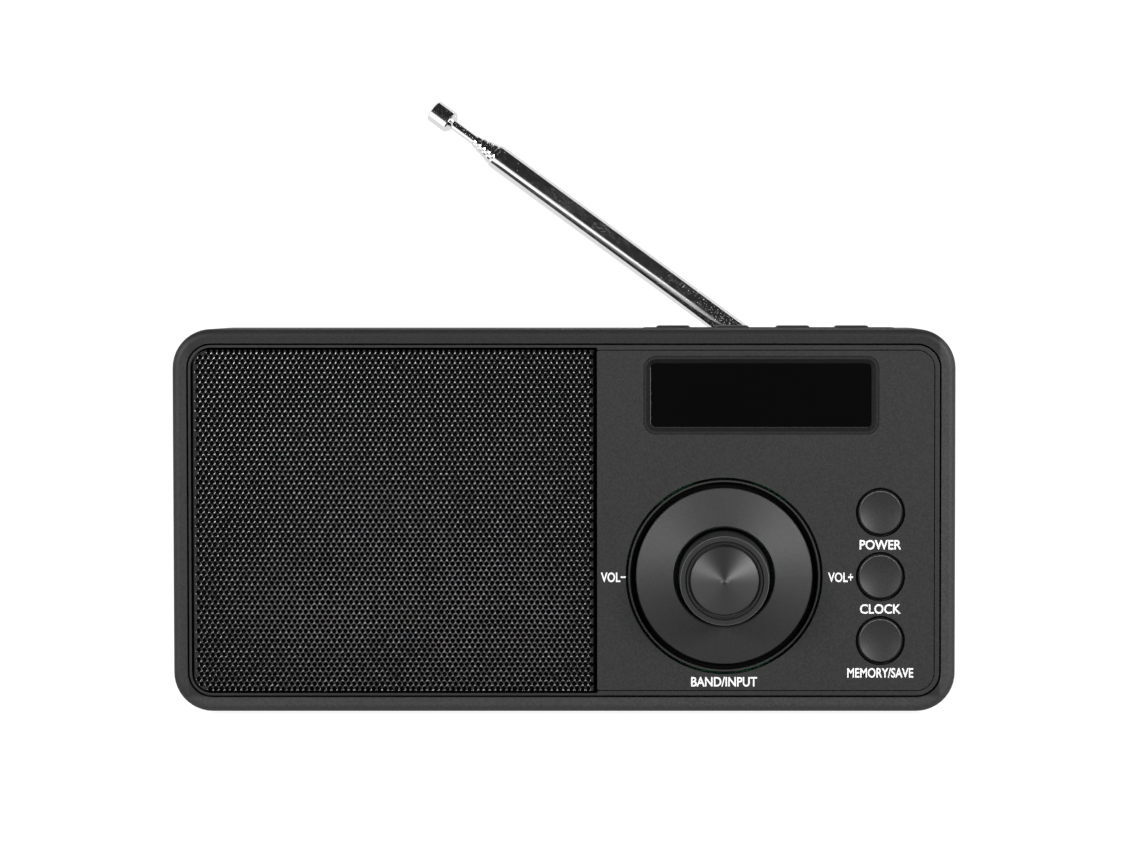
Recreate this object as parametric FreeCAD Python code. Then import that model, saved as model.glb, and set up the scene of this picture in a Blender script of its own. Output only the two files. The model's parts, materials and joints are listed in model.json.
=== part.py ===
"""A tabletop radio with a perforated speaker grille, a display, a rocker ring round a tuning knob, and a
telescopic antenna. Millimetres. +Z is up, the front faces -Y, and the origin is on the table below the middle
of the case."""

import FreeCAD
import Part

import math
import os

V = FreeCAD.Vector

# Case ---------------------------------------------------------------------------------------------
case_width = 180.0
case_height = 88.1
case_depth = 48.0
foot_height = 1.0
case_corner = 9.0
wall = 2.4
front_edge_round = 1.7
rear_edge_round = 1.5
seam_round = 0.35
frame_border = 3.3          # front face of the case, outside the insert
rebate_height = 11.0        # step along the top rear edge that the folded antenna lies in
rebate_depth = 12.0

front = -case_depth / 2
back = case_depth / 2
half = case_width / 2
split = back - rebate_depth  # plane where the front case meets the rear cover
lip_back = front + 2.2       # rear face of the front case's lip

# Front insert -------------------------------------------------------------------------------------
groove = 0.35               # between the case and the insert's rim
rim = 1.1
grille_rim = 0.6            # the rim is narrower where it passes the grille
panel_groove = 0.2          # between the rim and the control panel
recess = 0.35               # the insert and panel sit this far behind the case's front
baffle_thickness = 1.8
baffle_back = lip_back + baffle_thickness
face = front + recess
rim_outer = frame_border + groove
rim_inner = rim_outer + rim
panel_edge = rim_inner + panel_groove
grille_edge = 4.5
grille_right = 7.0
grille_skin = 0.6           # thickness of the grille's sheet
screen_thickness = 0.3      # of the dust screen behind it
panel_left = 7.6

# Speaker ------------------------------------------------------------------------------------------
speaker_x = -38.8
speaker_z = 44.9
speaker_opening = 33.0
speaker_frame = 38.0
cone_outer = 29.4
dust_cap = 9.6
magnet_radius = 22.5
magnet_front = -1.0

# Display ------------------------------------------------------------------------------------------
bezel_box = (18.3, 72.4, 63.9, 81.9)
window_box = (19.75, 70.7, 65.35, 80.2)

# Controls -----------------------------------------------------------------------------------------
dial_x = 36.8
dial_z = 31.3
dial_opening = 22.68
ring_outer = 22.05
ring_hole = 11.4
ring_rise = 3.0             # the ring's face rises this much from the panel to its hole
knob_radius = 10.1
knob_front = -37.9
disc_radius = 7.8           # metal disc in the knob's end
disc_sink = 0.55            # of the disc's edge below the knob's shoulder
cone_rise = 0.39            # of the disc's middle above the knob's shoulder
shaft_radius = 3.0
running_gap = 0.05
pivot_y = -19.4             # plane of the rocker ring's two pivot axes
key_board_front = -16.5
board_thickness = 1.5
button_x = 72.75
button_heights = (45.95, 31.15, 16.4)
button_names = ("power_button", "clock_button", "memory_button")
button_radius = 5.3
button_opening = 5.7
key_xs = (24.95, 38.75, 52.95, 66.7)
key_y = -6.0
key_size = (8.1, 6.0)
key_plate_span = (17.9, 76.6)
key_plate_rise = 0.25
key_rise = 0.7              # of the keys above the case
stem_below_wall = 2.0       # the keys' stems end this far below the top wall's underside
switch_height = 2.4
switch_gap = 0.9            # free travel between a stem and its switch

# Antenna ------------------------------------------------------------------------------------------
pivot = V(45.1, 19.0, case_height - 5.0)
mast_elevation = 36.3       # above the horizontal, pointing left
mast_lean = 9.6             # tipped backwards
section_outer = (3.0, 2.55, 2.2, 1.85, 1.5)
section_inner = (2.7, 2.3, 1.95, 1.6, 1.3)
section_bottom = (4.3, 6.3, 8.3, 10.3, 12.3)
mast_top = 80.6
ring_step = 1.55            # each section shows this much of itself when the mast is pushed together
rod_radius = 1.15
rod_show = 6.75
cap_radius = 2.75
cap_length = 5.4

ALONG_X = V(1, 0, 0)
ALONG_Y = V(0, 1, 0)
ALONG_Z = V(0, 0, 1)


def save(name, shape):
    """Write one sub-part, lifted so that the feet stand on the table."""
    placed = shape.copy()
    placed.translate(V(0, 0, foot_height))
    placed.exportStep(f"parts/{name}.step")


def block(x0, x1, y0, y1, z0, z1):
    return Part.makeBox(x1 - x0, y1 - y0, z1 - z0, V(x0, y0, z0))


def rod(radius, start, end):
    """A round bar from one point to another."""
    direction = end.sub(start)
    return Part.makeCylinder(radius, direction.Length, start, direction)


def disc(radius, x, z, y0, y1):
    """A round plate that faces front and back."""
    return Part.makeCylinder(radius, y1 - y0, V(x, y0, z), ALONG_Y)


def hollow(outer, inner, x, z, y0, y1):
    return disc(outer, x, z, y0, y1).cut(disc(inner, x, z, y0 - 1, y1 + 1))


def panel(x0, x1, z0, z1, y0, y1, radii):
    """A plate that faces front. Its corner radii run bottom left, bottom right, top right, top left."""
    corners = [V(x0, y0, z0), V(x1, y0, z0), V(x1, y0, z1), V(x0, y0, z1)]
    edges = []
    start_points = []
    for i, corner in enumerate(corners):
        before = corners[i - 1].sub(corner).normalize()
        after = corners[(i + 1) % 4].sub(corner).normalize()
        radius = radii[i]
        first = corner.add(before * radius)
        last = corner.add(after * radius)
        middle = corner.add((before + after) * (radius * (1 - math.sqrt(0.5))))
        start_points.append(first)
        edges.append((Part.Arc(first, middle, last).toShape(), last))
    loop = []
    for i, (arc, last) in enumerate(edges):
        loop.append(arc)
        loop.append(Part.LineSegment(last, start_points[(i + 1) % 4]).toShape())
    return Part.Face(Part.Wire(loop)).extrude(V(0, y1 - y0, 0))


def case_outline(inset, y0, y1):
    """The case's outline, shrunk by inset all round, between two depths."""
    radius = max(case_corner - inset, 1.0)
    return panel(-half + inset, half - inset, inset, case_height - inset, y0, y1, (radius,) * 4)


def turned(points, x, z):
    """Turn an outline of (radius, y) points about the line through x, z that runs front to back."""
    corners = [V(x + r, y, z) for r, y in points]
    outline = Part.makePolygon(corners + [corners[0]])
    return Part.Face(outline).revolve(V(x, 0, z), ALONG_Y, 360)


def round_edges(shape, radius, chosen):
    """Round the edges for which chosen(edge) is true."""
    edges = [edge for edge in shape.Edges if chosen(edge)]
    return shape.makeFillet(radius, edges)


def at_depth(y):
    """A test for the edges that lie wholly in the plane at depth y."""
    return lambda edge: abs(edge.BoundBox.YMin - y) < 1e-4 and abs(edge.BoundBox.YMax - y) < 1e-4


def tube(points, radius):
    """A wire or lead along straight runs joined by tangent arcs, each as large as its two runs allow."""
    places = [V(*p) for p in points]
    edges = []
    start = places[0]
    for before, corner, after in zip(places, places[1:], places[2:]):
        back_way = before.sub(corner)
        on_way = after.sub(corner)
        shorter = min(back_way.Length, on_way.Length)
        turn = math.pi - back_way.getAngle(on_way)
        reach = 0.45 * shorter
        bend = reach / math.tan(turn / 2)
        back_way.normalize()
        on_way.normalize()
        first = corner.add(back_way * reach)
        last = corner.add(on_way * reach)
        inward = (back_way + on_way).normalize()
        depth = bend / math.cos(turn / 2) - bend
        edges.append(Part.LineSegment(start, first).toShape())
        edges.append(Part.Arc(first, corner.add(inward * depth), last).toShape())
        start = last
    edges.append(Part.LineSegment(start, places[-1]).toShape())
    path = Part.Wire(edges)
    section = Part.Wire([Part.makeCircle(radius, places[0], places[1].sub(places[0]))])
    return path.makePipeShell([section], True, False)


# The mast's own frame: its axis along +Z from the pivot, turned into place afterwards.

def turned_mast(points):
    """Turn an outline of (radius, height) points about the mast's axis, in the mast's own frame."""
    corners = [V(r, 0, h) for r, h in points]
    outline = Part.makePolygon(corners + [corners[0]])
    return Part.Face(outline).revolve(V(0, 0, 0), ALONG_Z, 360)


def place_swivel(shape):
    """From the mast's frame to the case, for the piece that only swivels."""
    placed = shape.copy()
    placed.rotate(V(0, 0, 0), ALONG_Y, mast_elevation - 90)
    placed.translate(pivot)
    return placed


def place_mast(shape):
    """From the mast's frame to the case, for the pieces that swivel and tip."""
    leaned = shape.copy()
    leaned.rotate(V(0, 0, 0), ALONG_X, -mast_lean)
    return place_swivel(leaned)


# Case and covers ----------------------------------------------------------------------------------

screw_places = [(-82.5, 9.0), (82.5, 9.0), (-82.5, 68.0), (82.5, 68.0)]


def front_case():
    outer = case_outline(0, front, split)
    rounded = round_edges(outer, front_edge_round, at_depth(front))
    rounded = round_edges(rounded, seam_round, at_depth(split))
    inner = case_outline(wall, lip_back, split + 1)
    opening = case_outline(frame_border, front - 1, lip_back + 1)
    shell = rounded.cut(inner).cut(opening)
    for x, z in screw_places:
        boss = disc(3.2, x, z, baffle_back, split)
        outward = math.copysign(half - wall / 2, x)
        web = block(min(x, outward), max(x, outward), baffle_back, split, z - 1.2, z + 1.2)
        shell = shell.fuse([boss, web]).cut(disc(1.3, x, z, -5, split + 1))
    left, right = key_plate_span
    plate_hole = block(left - 0.1, right + 0.1, key_y - 5.4, key_y + 5.4,
                       case_height - wall - 1, case_height + 1)
    return shell.cut(plate_hole).removeSplitter()


def rear_cover():
    top = case_height - rebate_height
    rebate = block(-half - 1, half + 1, split + 2.0, back + 1, top, case_height + 1)
    outer = case_outline(0, split, back).cut(rebate)
    outer = round_edges(outer, rear_edge_round, at_depth(back))
    outer = round_edges(outer, seam_round, at_depth(split))
    inner = case_outline(wall, split - 1, back - wall)
    shell = outer.cut(inner)
    above = block(-half, half, split, back, top, case_height)
    step_wall = case_outline(wall, split, split + 2.0).common(above)
    level = block(-half, half, split, back, top - wall, top)
    step_floor = case_outline(wall, split, back - wall).common(level)
    shell = shell.fuse([step_wall, step_floor])
    for x, z in screw_places:
        column = disc(4.2, x, z, split, back - 1)
        screw_hole = disc(1.6, x, z, split - 1, back)
        head_hole = disc(3.1, x, z, back - 3.4, back + 1)
        shell = shell.fuse(column).cut(screw_hole).cut(head_hole)
    for row in range(8):
        z = 22 + 5.2 * row
        reach = math.sqrt(24.0 ** 2 - (z - 40.2) ** 2)
        slot = panel(speaker_x - reach, speaker_x + reach, z, z + 1.6, back - wall - 1, back + 1, (0.79,) * 4)
        shell = shell.cut(slot)
    shell = shell.cut(disc(3.4, jack_x, jack_z, back - wall - 1, back + 1))
    usb_hole = panel(usb_x - 5.0, usb_x + 5.0, usb_z - 2.1, usb_z + 2.1,
                     back - wall - 1, back + 1, (2.0,) * 4)
    shell = shell.cut(usb_hole)
    shell = shell.cut(disc(1.6, pivot.x, pivot.z, split - 1, back))
    return shell.removeSplitter()


def front_baffle():
    flange = case_outline(wall + 0.2, lip_back, baffle_back)
    ring = case_outline(rim_outer, face - 0.1, lip_back)
    ring = round_edges(ring, 0.25, at_depth(face - 0.1))
    pocket = case_outline(rim_inner, face - 1, lip_back)
    grille_side = block(-half, panel_left, front - 1, lip_back, 0, case_height)
    grille_pocket = case_outline(rim_outer + grille_rim, face - 1, lip_back).common(grille_side)
    plate = flange.fuse(ring.cut(pocket).cut(grille_pocket))
    through = [disc(speaker_opening, speaker_x, speaker_z, lip_back - 1, baffle_back + 1)]
    through.append(disc(24.0, dial_x, dial_z, lip_back - 1, baffle_back + 1))
    through.extend(disc(7.0, button_x, z, lip_back - 1, baffle_back + 1) for z in button_heights)
    x0, x1, z0, z1 = bezel_box
    through.append(panel(x0, x1, z0, z1, lip_back - 1, baffle_back + 1, (2.9,) * 4))
    return plate.cut(Part.makeCompound(through)).removeSplitter()


def control_panel():
    low = panel_edge
    high = case_height - panel_edge
    right = half - panel_edge
    plate = panel(panel_left, right, low, high, face, lip_back, (0.5, 4.0, 4.0, 0.5))
    holes = [disc(dial_opening, dial_x, dial_z, face - 1, lip_back + 1)]
    holes.extend(disc(button_opening, button_x, z, face - 1, lip_back + 1) for z in button_heights)
    x0, x1, z0, z1 = bezel_box
    holes.append(panel(x0, x1, z0, z1, face - 1, lip_back + 1, (2.9,) * 4))
    return plate.cut(Part.makeCompound(holes))


def speaker_grille():
    """A shallow pan of sheet steel, open at the back."""
    left = -half + grille_edge
    low = grille_edge
    high = case_height - grille_edge
    outer = panel(left, grille_right, low, high, face, lip_back, (4.0, 0.8, 0.8, 4.0))
    outer = round_edges(outer, 0.4, at_depth(face))
    return outer.cut(grille_inside(0, face + grille_skin, lip_back + 1))


def grille_inside(inset, y0, y1):
    """The space inside the grille's pan, shrunk by inset all round, between two depths."""
    margin = grille_skin + inset
    left = -half + grille_edge + margin
    right = grille_right - margin
    low = grille_edge + margin
    high = case_height - grille_edge - margin
    return panel(left, right, low, high, y0, y1, (3.4, 0.3, 0.3, 3.4))


def dust_screen():
    """A fine woven screen, drawn as a plain plate, bonded to the back of the grille's sheet."""
    y = face + grille_skin
    return grille_inside(0.1, y, y + screen_thickness)


def display_bezel():
    """A frame whose inner walls slope in from the panel's face to the window."""
    x0, x1, z0, z1 = bezel_box
    gap = 0.1
    outer = panel(x0 + gap, x1 - gap, z0 + gap, z1 - gap, face + 0.1, baffle_back, (2.8,) * 4)
    wx0, wx1, wz0, wz1 = window_box
    near = panel(x0 + 0.3, x1 - 0.3, z0 + 0.3, z1 - 0.3, face - 0.5, face - 0.4, (2.55,) * 4)
    far = panel(wx0, wx1, wz0, wz1, face + 1.2, face + 1.3, (1.3,) * 4)
    near_wire = near.Faces[-1].OuterWire
    far_wire = far.Faces[-1].OuterWire
    slope = Part.makeLoft([near_wire, far_wire], True, True)
    through = panel(wx0, wx1, wz0, wz1, face, baffle_back + 1, (1.3,) * 4)
    return outer.cut(slope).cut(through)


def display_lens():
    x0, x1, z0, z1 = window_box
    gap = 0.05
    return panel(x0 + gap, x1 - gap, z0 + gap, z1 - gap, face + 1.35, baffle_back, (1.25,) * 4)


def lcd_module():
    x0, x1, z0, z1 = window_box
    return block(x0 - 1.2, x1 + 1.2, baffle_back, baffle_back + 2.6, z0 - 1.5, z1 + 1.5)


def feet():
    pads = []
    for x in (-62.0, 62.0):
        for y0, y1 in ((-14.0, -6.0), (14.0, 22.0)):
            pads.append(block(x - 8, x + 8, y0, y1, -foot_height, 0))
    return Part.makeCompound([pad.makeFillet(0.4, bottom_edges(pad)) for pad in pads])


def bottom_edges(shape):
    low = shape.BoundBox.ZMin
    return [edge for edge in shape.Edges if edge.BoundBox.ZMax < low + 1e-4]


def case_screws():
    screws = []
    for x, z in screw_places:
        head = disc(2.7, x, z, back - 3.4, back - 1.4)
        cross = block(x - 1.5, x + 1.5, back - 2.4, back, z - 0.3, z + 0.3)
        cross = cross.fuse(block(x - 0.3, x + 0.3, back - 2.4, back, z - 1.5, z + 1.5))
        screws.append(head.cut(cross).fuse(disc(1.3, x, z, -4.0, back - 3.4)))
    return Part.makeCompound(screws)


# Speaker ------------------------------------------------------------------------------------------

def speaker_basket():
    rim_front = baffle_back
    outline = [
        (speaker_opening + 0.4, rim_front),
        (speaker_frame, rim_front),
        (speaker_frame, rim_front + 1.2),
        (speaker_opening + 1.4, rim_front + 1.2),
        (23.5, magnet_front),
        (12.0, magnet_front),
        (12.0, magnet_front - 1.2),
        (22.8, magnet_front - 1.2),
    ]
    basket = turned(outline, speaker_x, speaker_z)
    for i in range(4):
        window = block(26.0, 32.4, rim_front + 4.0, magnet_front - 4.0, -9.0, 9.0)
        window.rotate(V(0, 0, 0), ALONG_Y, 45 + 90 * i)
        window.translate(V(speaker_x, 0, speaker_z))
        basket = basket.cut(window)
    for x, z in speaker_screw_places():
        basket = basket.cut(disc(1.2, x, z, rim_front - 1, rim_front + 2))
    return basket


def speaker_screw_places():
    reach = 36.6
    angles = [math.radians(45 + 90 * i) for i in range(4)]
    return [(speaker_x + reach * math.cos(a), speaker_z + reach * math.sin(a)) for a in angles]


def inner_screws():
    """The screws that hold the speaker to the baffle and the main board to its pillars."""
    speaker_seat = baffle_back + 1.2
    screws = []
    for x, z in speaker_screw_places():
        head = disc(2.0, x, z, speaker_seat, speaker_seat + 1.3)
        screws.append(head.fuse(disc(1.2, x, z, baffle_back, speaker_seat)))
    for x, z in main_screw_places:
        head = disc(2.0, x, z, main_board_front - 1.3, main_board_front)
        screws.append(head.fuse(disc(1.2, x, z, main_board_front, main_board_back + 6)))
    return Part.makeCompound(screws)


def speaker_surround():
    """A half-roll of foam between the basket and the cone."""
    y = baffle_back
    middle = (speaker_opening + cone_outer) / 2
    radius = (speaker_opening - cone_outer) / 2
    outer = []
    inner = []
    for i in range(9):
        angle = math.pi * i / 8
        outer.append((middle - radius * math.cos(angle), y - radius * math.sin(angle)))
        inner.append((middle - (radius - 0.4) * math.cos(angle), y - (radius - 0.4) * math.sin(angle)))
    return turned(outer + inner[::-1], speaker_x, speaker_z)


def speaker_cone():
    y = baffle_back
    outline = [(cone_outer, y), (cone_outer - 0.1, y + 0.5), (8.2, -9.4), (8.2, -10.0), (8.6, -10.0)]
    return turned(outline, speaker_x, speaker_z)


def speaker_dust_cap():
    """A shallow dome glued over the middle of the cone."""
    rise = 2.6
    sphere_radius = (dust_cap ** 2 + rise ** 2) / (2 * rise)
    edge_y = -10.9
    centre_y = edge_y - rise + sphere_radius
    outer = Part.makeSphere(sphere_radius, V(speaker_x, centre_y, speaker_z))
    inner = Part.makeSphere(sphere_radius - 0.4, V(speaker_x, centre_y, speaker_z))
    ahead = disc(dust_cap, speaker_x, speaker_z, edge_y - rise - 1, edge_y)
    return outer.cut(inner).common(ahead)


def speaker_voice_coil():
    return hollow(8.2, 7.8, speaker_x, speaker_z, -10.0, 2.0)


def speaker_magnet():
    return hollow(magnet_radius, 11.0, speaker_x, speaker_z, magnet_front, magnet_front + 8.0)


def speaker_yoke():
    y = magnet_front + 8.0
    return disc(20.0, speaker_x, speaker_z, y, y + 2.5).fuse(disc(7.2, speaker_x, speaker_z, magnet_front, y))


def speaker_terminals():
    strip = block(speaker_x + 19.4, speaker_x + 25.4, magnet_front, magnet_front + 1.2,
                  speaker_z - 7, speaker_z + 7)
    strip = strip.cut(disc(magnet_radius + 0.05, speaker_x, speaker_z, magnet_front - 1, magnet_front + 3))
    tabs = [block(speaker_x + 23.6, speaker_x + 24.4, magnet_front + 1.2, magnet_front + 6, speaker_z + z - 1.2,
                  speaker_z + z + 1.2) for z in (-4.5, 4.5)]
    return strip.fuse(tabs)


# Front controls -----------------------------------------------------------------------------------

def selector_ring():
    """The rocker ring: a thin raised lip, a groove inside it, and a broad face that rises to the knob."""
    outline = [
        (ring_hole, -21.6),
        (ring_outer, -21.6),
        (ring_outer, face - 0.15),
        (ring_outer - 0.15, face - 0.3),
        (ring_outer - 0.3, face - 0.3),
        (ring_outer - 0.42, face - 0.15),
        (ring_outer - 0.6, face + 1.25),
        (20.35, face + 1.25),
        (20.3, face + 0.05),
        (20.1, face - 0.15),
        (ring_hole + 0.3, face - ring_rise),
        (ring_hole, face - ring_rise + 0.3),
    ]
    ring = turned(outline, dial_x, dial_z)
    for side in (-1, 1):
        x = dial_x + side * 18.1
        lug = block(x - 1.0, x + 1.0, -21.6, -18.2, dial_z - 2, dial_z + 2)
        hole = rod(0.8, V(x - 2, pivot_y, dial_z), V(x + 2, pivot_y, dial_z))
        ring = ring.fuse(lug).cut(hole)
    return ring


def ring_pivot_pins():
    return Part.makeCompound([
        rod(0.8, V(dial_x + side * 19.1, pivot_y, dial_z), V(dial_x + side * 14.0, pivot_y, dial_z))
        for side in (-1, 1)
    ])


def ring_carrier():
    """The inner gimbal hoop between the ring and its mount."""
    hoop = hollow(16.6, 13.2, dial_x, dial_z, -20.6, -18.2)
    across = rod(0.8 + running_gap, V(dial_x - 18, pivot_y, dial_z), V(dial_x + 18, pivot_y, dial_z))
    upright = rod(0.8 + running_gap, V(dial_x, pivot_y, dial_z - 18), V(dial_x, pivot_y, dial_z + 18))
    return hoop.cut(across).cut(upright)


def ring_mount():
    """Two posts on the key board that hold the gimbal hoop above and below."""
    posts = []
    for side in (-1, 1):
        z = dial_z + side * 18.3
        post = block(dial_x - 2, dial_x + 2, -20.4, key_board_front, z - 1.0, z + 1.0)
        foot = block(dial_x - 4, dial_x + 4, key_board_front - 1.0, key_board_front, z - 1.0, z + 1.0)
        hole = rod(0.8, V(dial_x, pivot_y, z - 2), V(dial_x, pivot_y, z + 2))
        posts.append(post.fuse(foot).cut(hole))
    return Part.makeCompound(posts)


def mount_pivot_pins():
    return Part.makeCompound([
        rod(0.8, V(dial_x, pivot_y, dial_z + side * 19.3), V(dial_x, pivot_y, dial_z + side * 14.0))
        for side in (-1, 1)
    ])


def encoder_body():
    rear = key_board_front + board_thickness
    body = block(dial_x - 7, dial_x + 7, rear, rear + 7.4, dial_z - 7, dial_z + 7)
    bushing = disc(4.5, dial_x, dial_z, rear - 4.6, rear)
    bore = disc(shaft_radius + running_gap, dial_x, dial_z, rear - 5, rear + 1)
    cavity = disc(5.2, dial_x, dial_z, rear + 0.6, rear + 6.4)
    return body.fuse(bushing).cut(bore).cut(cavity)


def encoder_collar():
    """The sleeve that pushes the encoder's switch and lets the shaft turn inside it."""
    rear = key_board_front + board_thickness
    return hollow(5.0, shaft_radius + running_gap, dial_x, dial_z, rear + 1.4, rear + 3.4)


def encoder_shaft():
    rear = key_board_front + board_thickness
    return disc(shaft_radius, dial_x, dial_z, knob_front + 2.0, rear + 5.4)


def tuning_knob():
    """A tall knob with a flat shoulder, a fine groove inside it, and a sunk seat for its metal disc."""
    lip = 8.45
    inner_groove = 8.75
    outline = [
        (shaft_radius, knob_front + 2.0),
        (disc_radius + running_gap, knob_front + 2.0),
        (disc_radius + running_gap, knob_front + 1.0),
        (lip - 0.25, knob_front + 1.0),
        (lip - 0.15, knob_front + 0.1),
        (lip - 0.05, knob_front),
        (lip + 0.05, knob_front),
        (lip + 0.15, knob_front + 0.1),
        (inner_groove - 0.05, knob_front + 0.45),
        (inner_groove + 0.05, knob_front + 0.45),
        (inner_groove + 0.15, knob_front + 0.1),
        (inner_groove + 0.25, knob_front),
        (knob_radius - 0.25, knob_front),
        (knob_radius, knob_front + 0.25),
        (knob_radius + 0.45, -22.2),
        (knob_radius - 1.2, -22.2),
        (knob_radius - 1.6, knob_front + 4.5),
        (5.0, knob_front + 4.5),
        (5.0, -23.0),
        (shaft_radius, -23.0),
    ]
    return turned(outline, dial_x, dial_z)


def knob_cap():
    """The spun metal disc in the knob's end: a low cone."""
    outline = [
        (0.0, knob_front + 2.0),
        (disc_radius, knob_front + 2.0),
        (disc_radius, knob_front + disc_sink + 0.15),
        (disc_radius - 0.15, knob_front + disc_sink),
        (0.0, knob_front - cone_rise),
    ]
    return turned(outline, dial_x, dial_z)


def front_button(z):
    """A round button: dished face, retaining flange behind the panel, and a stem to its switch."""
    dish_edge = 4.75
    dish_depth = 0.6
    steps = 8
    sphere_radius = (dish_edge ** 2 + dish_depth ** 2) / (2 * dish_depth)
    stem_end = key_board_front - switch_height - switch_gap
    outline = [(0.0, stem_end), (1.5, stem_end), (1.5, -20.7), (6.3, -20.7), (6.3, -21.4),
               (button_radius, -21.4)]
    outline.append((button_radius, face + 0.95))
    outline.append((button_radius - 0.06, face + 0.75))
    outline.append((dish_edge + 0.14, face + 0.08))
    outline.append((dish_edge + 0.06, face))
    for i in range(steps, 0, -1):
        r = dish_edge * i / steps
        sink = math.sqrt(sphere_radius ** 2 - r ** 2) - (sphere_radius - dish_depth)
        outline.append((r, face + sink))
    outline.append((0.0, face + dish_depth))
    return turned(outline, button_x, z)


def front_key_board():
    rear = key_board_front + board_thickness
    board = block(12.0, 78.8, key_board_front, rear, 5.0, 56.5)
    return board.cut(disc(4.55, dial_x, dial_z, key_board_front - 1, rear + 1))


# Top controls -------------------------------------------------------------------------------------

def top_key_plate():
    """A low raised plate let into the top of the case, with a window for each key."""
    top = case_height + key_plate_rise
    left, right = key_plate_span
    plate = block(left, right, key_y - 5.3, key_y + 5.3, case_height - wall, top)
    plate = plate.makeFillet(1.6, [e for e in plate.Edges if e.BoundBox.ZLength > 2.0])
    plate = plate.makeFillet(0.2, [e for e in plate.Edges if e.BoundBox.ZMin > top - 1e-4])
    width, depth = key_size
    for x in key_xs:
        window = block(x - width / 2 - 0.35, x + width / 2 + 0.35,
                       key_y - depth / 2 - 0.35, key_y + depth / 2 + 0.35,
                       case_height - wall - 1, top + 1)
        plate = plate.cut(window)
    return plate


def top_key(x):
    """A rounded key with a flange under the plate and a stem down to its switch."""
    width, depth = key_size
    top = case_height + key_rise
    cap = block(x - width / 2, x + width / 2, key_y - depth / 2, key_y + depth / 2,
                case_height - wall - 1.2, top)
    cap = cap.makeFillet(1.2, [e for e in cap.Edges if e.BoundBox.ZLength > 2.0])
    cap = cap.makeFillet(0.7, [e for e in cap.Edges if e.BoundBox.ZMin > top - 1e-4])
    low = case_height - wall
    flange = block(x - width / 2 - 0.9, x + width / 2 + 0.9, key_y - depth / 2 - 0.9, key_y + depth / 2 + 0.9,
                   low - 1.2, low - 0.2)
    stem = rod(1.4, V(x, key_y, low - 1.2), V(x, key_y, low - stem_below_wall))
    return cap.fuse([flange, stem])


def top_key_board():
    top = case_height - wall - stem_below_wall - switch_gap - switch_height
    return block(17.0, 76.5, key_y - 6.5, key_y + 6.5, top - board_thickness, top)


def tact_switches():
    """One small switch behind each button, under each key, and behind each diagonal of the rocker ring."""
    switches = []
    for z in button_heights:
        switches.append(facing_switch(button_x, z, 3.0, switch_height))
    for i in range(4):
        angle = math.radians(45 + 90 * i)
        x = dial_x + 19.6 * math.cos(angle)
        z = dial_z + 19.6 * math.sin(angle)
        switches.append(facing_switch(x, z, 1.7, 3.2))
    low = case_height - wall - stem_below_wall - switch_gap
    body_top = low - switch_height / 3
    for x in key_xs:
        base = block(x - 3, x + 3, key_y - 3, key_y + 3, low - switch_height, body_top)
        switches.append(base.fuse(rod(1.2, V(x, key_y, body_top), V(x, key_y, low))))
    return Part.makeCompound(switches)


def facing_switch(x, z, reach, height):
    """A tact switch on the front key board, facing forward."""
    shoulder = key_board_front - height * 2 / 3
    base = block(x - reach, x + reach, shoulder, key_board_front, z - reach, z + reach)
    return base.fuse(disc(reach * 0.4, x, z, key_board_front - height, shoulder))


# Electronics and wiring ---------------------------------------------------------------------------

main_board_front = 8.0
main_board_back = main_board_front + board_thickness
main_board_box = (12.0, 76.0, 25.5, 72.0)
main_screw_places = [(16.0, 68.0), (72.0, 68.0), (16.0, 29.5), (72.0, 29.5)]
jack_x = 60.0
jack_z = 33.0
jack_bore = 1.8
jack_length = 14.0
usb_x = 44.0
usb_z = 33.0
cell_radius = 9.2
cell_length = 65.0
cell_left = 12.0
cell_y = -3.4
cell_z = 13.4


def main_board():
    x0, x1, z0, z1 = main_board_box
    board = block(x0, x1, main_board_front, main_board_back, z0, z1)
    for x, z in main_screw_places:
        board = board.cut(disc(1.5, x, z, main_board_front - 1, main_board_back + 1))
    return board


def board_pillars():
    """Four pillars that carry the main board off the rear cover."""
    pillars = [hollow(2.8, 1.2, x, z, main_board_back, back - wall) for x, z in main_screw_places]
    return Part.makeCompound(pillars)


def board_components():
    """The main board's larger parts: the tuner's shield can, an amplifier, a connector, two capacitors."""
    can = block(22.0, 50.0, main_board_front - 3.2, main_board_front, 44.0, 66.0)
    can = can.makeFillet(0.5, [e for e in can.Edges if e.BoundBox.YMax < main_board_front - 3.1])
    chip = block(56.0, 64.0, main_board_front - 1.4, main_board_front, 48.0, 56.0)
    connector = block(24.0, 40.0, main_board_front - 5.0, main_board_front, 31.0, 36.0)
    cans = [disc(3.0, x, 61.0, main_board_front - 7.0, main_board_front) for x in (58.0, 66.0)]
    return Part.makeCompound([can, chip, connector] + cans)


def headphone_jack():
    shell = block(jack_x - 4, jack_x + 4, main_board_back, back - wall, jack_z - 4, jack_z + 4)
    nozzle = disc(3.2, jack_x, jack_z, back - wall, back)
    bore = disc(jack_bore, jack_x, jack_z, back - jack_length + 2.0, back + 1)
    return shell.fuse(nozzle).cut(bore)


def usb_socket():
    """A charging socket: an oval sleeve with a contact tongue down its middle."""
    sleeve = panel(usb_x - 4.6, usb_x + 4.6, usb_z - 1.75, usb_z + 1.75, back - 8, back - 0.3, (1.7,) * 4)
    mouth = panel(usb_x - 4.3, usb_x + 4.3, usb_z - 1.45, usb_z + 1.45, back - 7, back + 1, (1.4,) * 4)
    tongue = block(usb_x - 3.3, usb_x + 3.3, back - 7.2, back - 1.6, usb_z - 0.35, usb_z + 0.35)
    base = block(usb_x - 5, usb_x + 5, main_board_back, back - 8, usb_z - 2.5, usb_z + 2.5)
    return sleeve.cut(mouth).fuse([tongue, base])


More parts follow.
